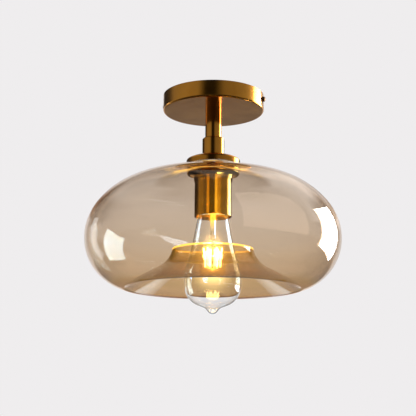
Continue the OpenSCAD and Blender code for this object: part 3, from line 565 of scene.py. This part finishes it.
def sweep_tube(points, radius, sides, per_span):
    # Rings square to a Catmull-Rom line through the points, bridged one to the next
    line = []
    for i in range(len(points) - 1):
        a, b, c, d = (Vector(points[min(max(i + k, 0), len(points) - 1)]) for k in (-1, 0, 1, 2))
        for s in range(per_span):
            t = s / per_span
            line.append(0.5 * (2 * b + (c - a) * t + (2 * a - 5 * b + 4 * c - d) * t * t
                               + (3 * b - a - 3 * c + d) * t ** 3))
    line.append(Vector(points[-1]))
    bm = bmesh.new()
    rings = []
    across = Vector((1, 1, 0)).normalized()
    for i, spot in enumerate(line):
        ahead = (line[min(i + 1, len(line) - 1)] - line[max(i - 1, 0)]).normalized()
        across = (across - ahead * across.dot(ahead)).normalized()
        turn = Matrix((across, ahead.cross(across), ahead)).transposed().to_4x4()
        ring = bmesh.ops.create_circle(bm, cap_ends=False, segments=sides, radius=radius)["verts"]
        bmesh.ops.transform(bm, verts=ring, matrix=Matrix.Translation(spot) @ turn)
        rings.append([e for e in bm.edges if e.verts[0] in ring and e.verts[1] in ring])
    for one, two in zip(rings, rings[1:]):
        bmesh.ops.bridge_loops(bm, edges=one + two)
    bmesh.ops.holes_fill(bm, edges=[e for e in bm.edges if e.is_boundary], sides=0)
    bmesh.ops.recalc_face_normals(bm, faces=bm.faces[:])
    return bm


for name, (slot, colour, route) in leads.items():
    sleeve = finish(slot + "_silicone", Roughness=0.42, Specular_IOR_Level=0.4)
    scuff = grain(sleeve, 700, detail=4)
    wire_in(
        sleeve,
        Base_Color=between_colours(sleeve, scuff, colour, tuple(min(1, 1.5 * c + 0.01) for c in colour)),
        Roughness=spread(sleeve, scuff, 0.34, 0.52),
        Normal=relief(sleeve, scuff, 0.02 * mm),
    )
    bm = sweep_tube([tuple(c * mm for c in p) for p in route], lead_r, sides=14, per_span=8)
    lead = make_piece("insulated_" + name, bm, sleeve, "fitting", crease=50)
    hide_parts(name)

# Lamp cap
# An E27 screw cap, its thread rolled into thin brass sheet, with a black glass insulator and a
# solder button. It is crimped and cemented on the neck of the lamp glass.
cap_metal = plain_metal("cap_brass", (0.60, 0.52, 0.34), (0.72, 0.64, 0.45), 0.2, 0.34)
cap_top = -111.4 * mm
cap_end = -133.4 * mm
cap_r = 13.1 * mm
cap_wall = 0.4 * mm
cap_pitch = 3.62 * mm
cap_depth = 0.9 * mm
cap_eye_r = 8.6 * mm
cap_round = 0.8 * mm
cap_drop = 2.8 * mm
cap_plain_band = 3.2 * mm
cap_trim = 0.1 * mm
cap_rings = 96
cap_shoulder = cap_r - cap_round - cap_eye_r
cap_side = cap_top - cap_drop - cap_round - cap_end
cap_slope = math.degrees(math.atan2(-cap_drop, cap_shoulder))
bm = bmesh.new()
first = start_line(bm, cap_eye_r, cap_top)
tip = walk_line(bm, first, cap_slope, [
    (math.hypot(cap_drop, cap_shoulder), 0), (0, -45 - cap_slope), (cap_round * math.sqrt(2), 0), (0, -45),
    (cap_side, 0, cap_rings), (0, -90), (cap_wall, 0), (0, -90), (cap_side, 0, cap_rings), (0, 45),
    (cap_round * math.sqrt(2), 0)])
bmesh.ops.contextual_create(bm, geom=[tip, first])
spin_line(bm, sides=96)
for face_r in (cap_r, cap_r - cap_wall):
    cut_thread(
        bm, face_r, cap_pitch, cap_depth, cap_end + cap_plain_band, cap_end + cap_side - cap_trim)
screw_cap = make_piece("rolled_cap", bm, cap_metal, "lamp")
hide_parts("bulb_cap")

vitrite = finish("black_vitrite", Roughness=0.12, Coat_Weight=0.4)
swirl = grain(vitrite, 300)
wire_in(vitrite, Base_Color=between_colours(vitrite, swirl, (0.012, 0.01, 0.014), (0.035, 0.03, 0.04)),
        Normal=relief(vitrite, swirl, 0.05 * mm))
dress(vitrite, "bulb_insulator")
solder = plain_metal("solder_button", (0.50, 0.50, 0.50), (0.62, 0.61, 0.59), 0.25, 0.45)
dress(solder, "bulb_contact")
board = finish("driver_board", Roughness=0.5)
weave = grain(board, 1200)
wire_in(board, Base_Color=between_colours(board, weave, (0.50, 0.50, 0.46), (0.62, 0.62, 0.57)),
        Normal=relief(board, weave, 0.02 * mm))
dress(board, "bulb_driver")

# Lamp glass
# A clear blown envelope with a long neck, a round belly and a drawn tip, sealed to the flare of
# the mount.
lamp_wall = 0.9 * mm
lamp_neck_r = 12.6 * mm
lamp_neck_z = -128.4 * mm
lamp_r = 32 * mm
lamp_belly_r = 31.5 * mm
# Outline from the neck down: a length, or a radius and how far it turns, in degrees
upper_legs = [(5.4 * mm, 0), (4.6 * mm, 38), (23.5 * mm, -27.7), (26.4 * mm, 0), (300 * mm, 4.9)]
lower_turns = [(lamp_belly_r, -41.9), (22.2 * mm, -43.4)]
tip_legs = [(6.5 * mm, 0), (7.2 * mm, 30.9), (3.6 * mm, 0)]


def reach(start, heading, legs):
    # How far out a walk gets, and the heading it ends on
    x = start
    for size, turn in legs:
        if turn == 0:
            x += size * cosine(heading)
        else:
            x += math.copysign(size, turn) * (sine(heading + turn) - sine(heading))
            heading += turn
    return x, heading


upper_x, lean = reach(lamp_neck_r, -90, upper_legs)
belly_gain = lamp_belly_r * (1 - cosine(90 + lean))
lower_flank = (lamp_r - upper_x - belly_gain) / cosine(lean)
body_legs = upper_legs + [(lower_flank, 0)] + lower_turns + tip_legs
end_x, end_heading = reach(lamp_neck_r, -90, body_legs)
nose_turn = 180 + end_heading
nose_r = end_x / sine(nose_turn)
lamp_legs = body_legs + [(nose_r, -nose_turn)]
inner_legs = [
    (size if turn == 0 else size + math.copysign(lamp_wall, turn), -turn) for size, turn in lamp_legs[::-1]]
bm = bmesh.new()
first = start_line(bm, lamp_neck_r, lamp_neck_z)
tip = walk_line(bm, first, -90, lamp_legs, step=3)
tip = walk_line(bm, start_line(bm, 0, tip.co.z + lamp_wall), 0, inner_legs, step=3)
bmesh.ops.contextual_create(bm, geom=[tip, first])
spin_line(bm, sides=128)
clear_glass = finish(
    "clear_lamp_glass", Base_Color=(1, 1, 1, 1), Transmission_Weight=1.0, IOR=1.47, Roughness=0.0)
height, _ = height_and_radius(clear_glass)
edge_on = put(clear_glass, "ShaderNodeLayerWeight", {"Blend": 0.5}).outputs["Facing"]
# Painted glow: the envelope glows warm beside the filaments, most where it faces the eye, and where a ray
# has been mirrored four times or more.
painted_halo = plus(
    clear_glass, spread(clear_glass, edge_on, 0.5, 0.0, 0.005, 0.12),
    spread(clear_glass, edge_on, 0.04, 0.0, 0.0, 0.5))
beside_filaments = times(
    clear_glass, spread(clear_glass, height, 0.1, 1.0, -0.158, -0.180),
    zone(clear_glass, (height, -0.222, -0.200)))
painted_trapped_glow = painted_inner_glow(clear_glass)
wire_in(
    clear_glass,
    Emission_Color=between_colours(clear_glass, painted_trapped_glow, (1.0, 0.70, 0.24), (0.80, 0.74, 0.66)),
    Emission_Strength=spread(clear_glass, painted_trapped_glow, times(clear_glass, painted_halo, beside_filaments), 0.7, 0, 1),
    Normal=relief(clear_glass, grain(clear_glass, 45, detail=1), 0.05 * mm),
)
envelope = make_piece("blown_envelope", bm, clear_glass, "lamp")
envelope.visible_shadow = False
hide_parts("bulb_glass")

# Mount and filaments
# A pressed glass mount carries six coated filament sticks on fine nickel wires. The lamp is lit,
# so the sticks glow warm white.
# Painted glow: the mount is lit yellow at its top and round its lower hub, as if by the filaments.
mount_glass = finish(
    "mount_glass", Base_Color=(1.0, 0.97, 0.92, 1), Transmission_Weight=1.0, IOR=1.5,
    Emission_Color=(1.0, 0.66, 0.05, 1))
height, _ = height_and_radius(mount_glass)
wire_in(
    mount_glass,
    Roughness=spread(mount_glass, grain(mount_glass, 200), 0.02, 0.1),
    Emission_Strength=plus(
        mount_glass, spread(mount_glass, height, 0.0, 0.5, -0.158, -0.142),
        zone(mount_glass, (height, -0.2030, -0.2045))),
)
dress(mount_glass, "bulb_mount")
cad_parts["bulb_mount"].visible_shadow = False
nickel = plain_metal("nickel_wire", (0.58, 0.54, 0.48), (0.70, 0.66, 0.60), 0.2, 0.35)
dress(nickel, "bulb_wires")
phosphor = finish("lit_filament_coat", Base_Color=(1.0, 0.75, 0.35, 1), Roughness=0.6,
                  Emission_Color=(1.0, 0.70, 0.26, 1))
beads = grain(phosphor, 900, detail=1)
wire_in(phosphor, Emission_Strength=spread(phosphor, beads, 22, 34))
dress(phosphor, "bulb_filaments")
filament_middle = -190 * mm
lamp_light = bpy.data.lights.new("lamp_glow", "POINT")
lamp_light.energy = 1.1
lamp_light.color = (1.0, 0.74, 0.22)
lamp_light.shadow_soft_size = 12 * mm
glow_source = bpy.data.objects.new("lamp_glow", lamp_light)
glow_source.location = (0, 0, filament_middle)
bpy.context.scene.collection.objects.link(glow_source)
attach(glow_source, "lamp")

# Floor and backdrop
# A round pale floor far below the light, and the wall that curves up from its edge. Both are matt
# and lie under even light.
pale = (0.863, 0.847, 0.855)
floor_z = -1.9
room_r = 3.2
cove_r = 0.6
wall_rise = 4.5


def pale_paint(name, plain_share):
    # Seen straight, mirrored or through glass, the paint is flat pale by this share
    paint = finish(name, Base_Color=(*pale, 1), Roughness=0.9, Specular_IOR_Level=0.0)
    path = put(paint, "ShaderNodeLightPath").outputs
    seen = path["Is Camera Ray"]
    for kind in ("Is Glossy Ray", "Is Transmission Ray"):
        seen = reckon(paint, "MAXIMUM", seen, path[kind])
    flat = put(paint, "ShaderNodeEmission", {"Color": (*pale, 1), "Strength": 1.0}).outputs[0]
    lit_paint = paint.node_tree.nodes["Principled BSDF"].outputs[0]
    surface = put(paint, "ShaderNodeMixShader", {0: times(paint, seen, plain_share), 1: lit_paint, 2: flat})
    send_out(paint, surface.outputs[0], "Surface")
    return paint


def set_piece(name, bm, material):
    mesh = bpy.data.meshes.new(name)
    bm.to_mesh(mesh)
    bm.free()
    mesh.materials.append(material)
    made = bpy.data.objects.new(name, mesh)
    bpy.context.scene.collection.objects.link(made)
    return made


bm = bmesh.new()
bmesh.ops.create_circle(bm, cap_ends=True, segments=96, radius=room_r)
bmesh.ops.translate(bm, verts=bm.verts[:], vec=(0, 0, floor_z))
set_piece("floor", bm, pale_paint("floor_paint", 0.75))
bm = bmesh.new()
walk_line(bm, start_line(bm, room_r, floor_z), 0, [(cove_r, 90), (wall_rise, 0)], step=6)
spin_line(bm, sides=96)
backdrop = set_piece("backdrop", bm, pale_paint("backdrop_paint", 1.0))
backdrop.visible_shadow = False
world = bpy.data.worlds.new("studio")
world.use_nodes = True
sky = world.node_tree.nodes["Background"].inputs
sky["Color"].default_value = (*pale, 1)
sky["Strength"].default_value = 1.0
bpy.context.scene.world = world

# Grey card
# A ball of grey card round the set, which only metal and glass mirror. Its tone goes by height and
# by the bearing from the camera, in degrees, right of it positive.
camera_turn = math.radians(15)
card_r = 1.7
card_peak = 2.5
zenith_tones = [(-180, 0.06), (0, 0.06), (180, 0.06)]
high_tones = [
    (-180, 0.10), (-150, 0.4), (-120, 0.9), (-75, 0.9), (-45, 0.04), (45, 0.04), (80, 0.9), (110, 1.5),
    (150, 1.5), (170, 0.3), (180, 0.10)]
upper_tones = [
    (-180, 0.85), (-161, 0.80), (-153, 0.04), (-125, 0.05), (-112, 0.12), (-100, 0.34), (-60, 0.42),
    (-34, 0.38), (-24, 0.12), (-18, 0.02), (4, 0.02), (12, 0.10), (24, 0.28), (60, 0.34), (78, 0.40),
    (88, 0.6), (94, 1.05), (100, 1.5), (106, 0.85), (114, 0.3), (138, 0.06), (146, 0.5), (160, 0.80),
    (180, 0.85)]
level_tones = [(-180, 0.25), (-153, 0.04)] + upper_tones[3:-3] + [(146, 0.2), (180, 0.25)]
waist_tones = [
    (-180, 0.25), (-140, 0.45), (-110, 0.50), (-60, 0.36), (-20, 0.10), (20, 0.10), (60, 0.40), (110, 0.50),
    (140, 0.45), (180, 0.25)]
low_tones = [
    (-180, 0.22), (-125, 0.20), (-90, 0.10), (-40, 0.05), (0, 0.03), (40, 0.05), (90, 0.10), (125, 0.20),
    (180, 0.22)]
behind_tones = [(-180, 0.80), (-166, 0.80), (-156, 0.0), (135, 0.0), (148, 0.80), (180, 0.80)]
edge_tones = [(-180, 0.80), (-148, 0.80), (-132, 0.0), (132, 0.0), (148, 0.80), (180, 0.80)]


def seen_in_reflections(name, colour, strength, least=0, most=99):
    # The light of a card or panel that only metal and glass mirror, in a ray that has gone through
    # at least and at most so many glass faces
    lit = bpy.data.materials.new(name)
    lit.use_nodes = True
    lit.node_tree.nodes.remove(lit.node_tree.nodes["Principled BSDF"])
    path = put(lit, "ShaderNodeLightPath").outputs
    share = times(
        lit, reckon(lit, "GREATER_THAN", path["Glossy Depth"], 0.5),
        reckon(lit, "GREATER_THAN", path["Transmission Depth"], least - 0.5),
        reckon(lit, "LESS_THAN", path["Transmission Depth"], most + 0.5))
    clear = put(lit, "ShaderNodeBsdfTransparent").outputs[0]
    shine = put(lit, "ShaderNodeEmission", {"Color": (*colour, 1), "Strength": strength})
    surface = put(lit, "ShaderNodeMixShader", {0: share, 1: clear, 2: shine.outputs[0]})
    send_out(lit, surface.outputs[0], "Surface")
    return lit, shine


def tone_ramp(material, turn, tones):
    ramp = put(material, "ShaderNodeValToRGB", {0: turn})
    stops = ramp.color_ramp.elements
    for angle, _ in tones[1:-1]:
        stops.new((angle + 180) / 360)
    for stop, (_, tone) in zip(stops, tones):
        stop.color = (tone / card_peak, tone / card_peak, tone / card_peak, 1)
    return ramp.outputs[0]


def height_limit(material, in_air, past_front_wall, deep_in, open_air, one_wall):
    # How high the light behind the glass reaches, by the glass faces that a mirrored ray has passed
    return plus(
        material, spread(material, in_air, deep_in, open_air, 0, 1),
        spread(material, past_front_wall, 0, one_wall - deep_in, 0, 1))


card, card_glow = seen_in_reflections("grey_card", (1, 1, 1), card_peak)
turned = put(card, "ShaderNodeMapping", {"Vector": place_on(card), "Rotation": (0, 0, -camera_turn)})
right_of, away, height = put(card, "ShaderNodeSeparateXYZ", {"Vector": turned.outputs[0]}).outputs
bearing = reckon(card, "ARCTAN2", right_of, times(card, away, -1.0))
turn = spread(card, bearing, 0.0, 1.0, -math.pi, math.pi)
passed = put(card, "ShaderNodeLightPath").outputs["Transmission Depth"]
in_glass = reckon(card, "GREATER_THAN", passed, 0.5)
in_air = reckon(card, "SUBTRACT", 1.0, in_glass)
past_front_wall = times(card, in_glass, reckon(card, "LESS_THAN", passed, 2.5))
upward = layered(
    card, times(card, in_air, tone_ramp(card, turn, low_tones)),
    (zone(card, (height, -0.42, -0.25)), tone_ramp(card, turn, waist_tones)),
    (zone(card, (height, 0.18, 0.24)), tone_ramp(card, turn, level_tones)),
    (zone(card, (height, 0.47, 0.53)), tone_ramp(card, turn, upper_tones)),
    (zone(card, (height, 0.72, 0.98)), tone_ramp(card, turn, high_tones)),
    (zone(card, (height, 1.41, 1.50)), tone_ramp(card, turn, zenith_tones)))
behind_glass = times(
    card, tone_ramp(card, turn, behind_tones), in_glass, zone(card, (height, 0.16, 0.24)))
edge_top = height_limit(card, in_air, past_front_wall, 0.22, 0.36, 0.52)
edge_full = height_limit(card, in_air, past_front_wall, 0.14, 0.30, 0.40)
at_edges = times(
    card, tone_ramp(card, turn, edge_tones),
    zone(card, (height, -0.42, -0.32), (height, edge_top, edge_full)))
card_tone = reckon(card, "MAXIMUM", upward, plus(card, behind_glass, at_edges))
card.node_tree.links.new(card_tone, card_glow.inputs["Color"])
bm = bmesh.new()
bmesh.ops.create_uvsphere(bm, u_segments=48, v_segments=24, radius=card_r)
off_camera = [set_piece("card_surround", bm, card)]

# Lit panels
# A tall softbox stands behind the light on the right, a strip on the left and a window in front of
# it. The small panels are the lamp's light that the shade throws back on the cup, and the streaks
# that it leaves in the bowl.
outside = {"least": 0, "most": 0}
outer_walls = {"least": 0, "most": 2}
front_wall_inside = {"least": 2, "most": 2}
back_wall_inside = {"least": 4, "most": 4}
deep_inside = {"least": 4, "most": 99}


def panel(name, corners, strength, faces, colour=(1, 1, 1), fade=None):
    # Its corners are given right of, away from and above the middle of the set, as the camera sees
    # it. Fade is how far from the panel's middle its light starts to fall off and where it ends.
    to_camera = Matrix.Rotation(camera_turn, 3, "Z")
    lit, shine = seen_in_reflections(name, colour, strength, **faces)
    if fade:
        middle = to_camera @ (sum((Vector(corner) for corner in corners), Vector()) / len(corners))
        gap = put(lit, "ShaderNodeVectorMath", {0: place_on(lit), 1: middle}, operation="DISTANCE")
        lit.node_tree.links.new(
            spread(lit, gap.outputs["Value"], strength, 0.0, *fade), shine.inputs["Strength"])
    bm = bmesh.new()
    made = [bmesh.ops.create_vert(bm, co=corner)["vert"][0] for corner in corners]
    bmesh.ops.contextual_create(bm, geom=made)
    bmesh.ops.rotate(bm, verts=bm.verts[:], cent=(0, 0, 0), matrix=to_camera)
    off_camera.append(set_piece(name, bm, lit))


def upright(near, far, low, high):
    return [(*near, low), (*far, low), (*far, high), (*near, high)]


def place_at(bearing, distance):
    return distance * sine(bearing), -distance * cosine(bearing)


panel("right_softbox", upright((1.02, 0.23), (0.785, 0.767), -0.43, 0.36), 14, outer_walls)
panel("right_softbox_in_glass", upright((1.03, 0.235), (0.795, 0.772), -0.43, 0.36), 25, deep_inside,
      (0.36, 0.62, 1.0))
panel("left_strip", upright((-0.88, 0.43), (-0.775, 0.565), -0.50, 0.14), 1.6, outside)
panel("window_panel", upright((0.43, -0.97), (1.33, -0.07), -0.35, 1.3), 2.9, front_wall_inside)
panel("floor_card", [(-0.20, 0.37, -0.49), (0.20, 0.37, -0.49), (0.20, 0.63, -0.49), (-0.20, 0.63, -0.49)],
      1.5, outer_walls, (0.76, 0.93, 1.05), fade=(0.065, 0.20))
sail_away = 1.175
panel("front_sail", [(*place_at(69, sail_away), -1.10), (*place_at(24, sail_away), -0.84),
                     (*place_at(24, sail_away), 0.05)], 42, back_wall_inside, (0.30, 0.50, 1.0))
echo_away = 1.3
echo_low, echo_high = -0.02, 0.45
echoes = {
    "far_left_echo": (-100, -62, 0.66, (1.0, 0.95, 0.7)),
    "left_echo": (-39, -24, 2.0, (1.0, 0.8, 0.22)),
    "middle_echo": (-24, 11, 0.28, (1.0, 1.0, 0.4)),
    "right_echo": (11, 25, 3.2, (1.0, 1.0, 0.3)),
    "side_echo": (25, 46, 1.5, (1.0, 0.85, 0.2)),
    "far_right_echo": (46, 76, 0.52, (1.0, 0.98, 0.8)),
}
for name, (left, right, strength, colour) in echoes.items():
    corners = upright(place_at(left, echo_away), place_at(right, echo_away), echo_low, echo_high)
    panel(name, corners, strength, back_wall_inside, colour)
for thing in off_camera:
    thing.visible_camera = False
    thing.visible_diffuse = False
    thing.visible_shadow = False

# Key light
# A small soft lamp on the camera's right that faces the light. It lights what isn't mirrored, and
# isn't seen itself.
key_place = (0.95, -0.55, 0.35)
key_back = (0.95, -0.55, 0.5)
key = bpy.data.lights.new("key", "AREA")
key.size = 0.7
key.energy = 9
key_lamp = bpy.data.objects.new("key", key)
key_lamp.matrix_world = (
    Matrix.Rotation(camera_turn, 4, "Z") @ Matrix.Translation(key_place)
    @ Vector(key_back).to_track_quat("Z", "Y").to_matrix().to_4x4())
key_lamp.visible_camera = False
key_lamp.visible_glossy = False
key_lamp.visible_transmission = False
bpy.context.scene.collection.objects.link(key_lamp)

# Camera
# It stands in front of the light, 15 degrees round to the right and below the shade, and looks up.
# Pan, tilt and roll are in radians. Pan and roll are the small turns that fit it to the photo.
camera_away = 1.0227
eye_z = -0.34766
pan, tilt, roll = 0.00554, 0.20905, 0.00564
camera = bpy.data.objects.new("camera", bpy.data.cameras.new("camera"))
camera.data.sensor_width = 36
camera.data.lens = 80.762
camera.matrix_world = (
    Matrix.Translation((camera_away * math.sin(camera_turn), -camera_away * math.cos(camera_turn), eye_z))
    @ Matrix.Rotation(camera_turn + pan, 4, "Z")
    @ Matrix.Rotation(math.pi / 2 + tilt, 4, "X")
    @ Matrix.Rotation(roll, 4, "Z"))
bpy.context.scene.collection.objects.link(camera)
bpy.context.scene.camera = camera
bpy.context.scene.view_settings.view_transform = "Standard"
